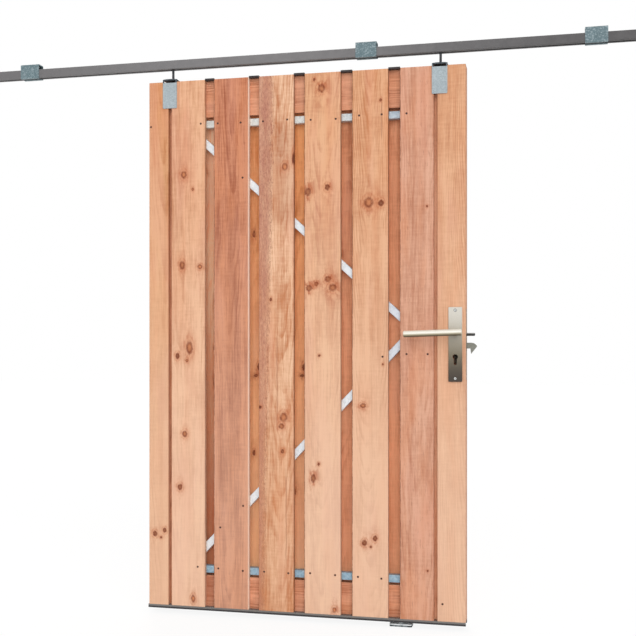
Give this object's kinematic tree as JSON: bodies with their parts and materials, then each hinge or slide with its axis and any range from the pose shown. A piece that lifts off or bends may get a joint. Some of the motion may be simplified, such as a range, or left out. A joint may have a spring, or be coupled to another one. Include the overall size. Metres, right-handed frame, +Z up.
{
  "type": "sliding garden gate",
  "caption": "Boarded timber gate on a welded tube frame, hung by two rod trolleys from an overhead C track, with a floor guide, lever handles and a hook bolt.",
  "frame": {"origin": "middle of the top face of the middle track bracket", "axes": "+X along the track to the right seen from the front, -Y towards the front, +Z up"},
  "size_m": [2.6, 0.172, 1.926],
  "materials": {
    "board_wood": "oiled",
    "rear_wood": "oiled",
    "infill_wood": "stained",
    "frame_steel": "galvanised",
    "track_steel": "dull galvanised",
    "galvanised": "galvanised",
    "dark_steel": "satin",
    "rod_steel": "zinc plated",
    "lock_steel": "satin",
    "handle_steel": "brushed",
    "roller_plastic": "matte",
    "stop_rubber": "matte"
  },
  "bodies": {
    "overhead_track": {"track": "track_steel", "left_track_bracket": "galvanised", "middle_track_bracket": "galvanised", "right_track_bracket": "galvanised", "end_track_bracket": "galvanised", "track_stops": "stop_rubber", "floor_guide": "galvanised", "guide_roller": "roller_plastic"},
    "gate": {"frame_rails": "frame_steel", "frame_stiles": "frame_steel", "upper_brace": "frame_steel", "lower_brace": "frame_steel", "left_wood_stile": "infill_wood", "right_wood_stile": "infill_wood", "top_infill_board": "infill_wood", "bottom_infill_board": "infill_wood", "top_cap": "dark_steel", "bottom_channel": "dark_steel", "strap_brackets": "galvanised", "hanger_rods": "rod_steel", "trolleys": "dark_steel", "trolley_wheels": "roller_plastic", "lock_case": "lock_steel", "buffer_pin": "dark_steel", "front_handle_plate": "handle_steel", "rear_handle_plate": "handle_steel", "front_board_1": "board_wood", "front_board_2": "board_wood", "front_board_3": "board_wood", "front_board_4": "board_wood", "front_board_5": "board_wood", "front_board_6": "board_wood", "front_board_7": "board_wood", "front_board_8": "board_wood", "rear_board_1": "rear_wood", "rear_board_2": "rear_wood", "rear_board_3": "rear_wood", "rear_board_4": "rear_wood", "rear_board_5": "rear_wood", "rear_board_6": "rear_wood", "rear_board_7": "rear_wood"},
    "handle": {"front_lever": "handle_steel", "rear_lever": "handle_steel", "spindle": "lock_steel"},
    "hook": {"hook_bolt": "lock_steel"}
  },
  "joints": [
    {"name": "gate_slide", "type": "slide", "parent": "overhead_track", "child": "gate", "axis": [1, 0, 0], "range_m": [-0.18, 0.84]},
    {"name": "lever_turn", "type": "hinge", "parent": "gate", "child": "handle", "pos_m": [0.2955, 0, -0.9625], "axis": [0, -1, 0], "range_deg": [0, 40], "stiffness_Nm_per_rad": 2, "springref_deg": -34.38},
    {"name": "hook_swing", "type": "hinge", "parent": "gate", "child": "hook", "pos_m": [0.2985, 0, -1.0055], "axis": [0, -1, 0], "range_deg": [0, 20]}
  ],
  "couplings": [
    {"joint": "hook_swing", "follows": "lever_turn", "ratio": 0.5}
  ]
}
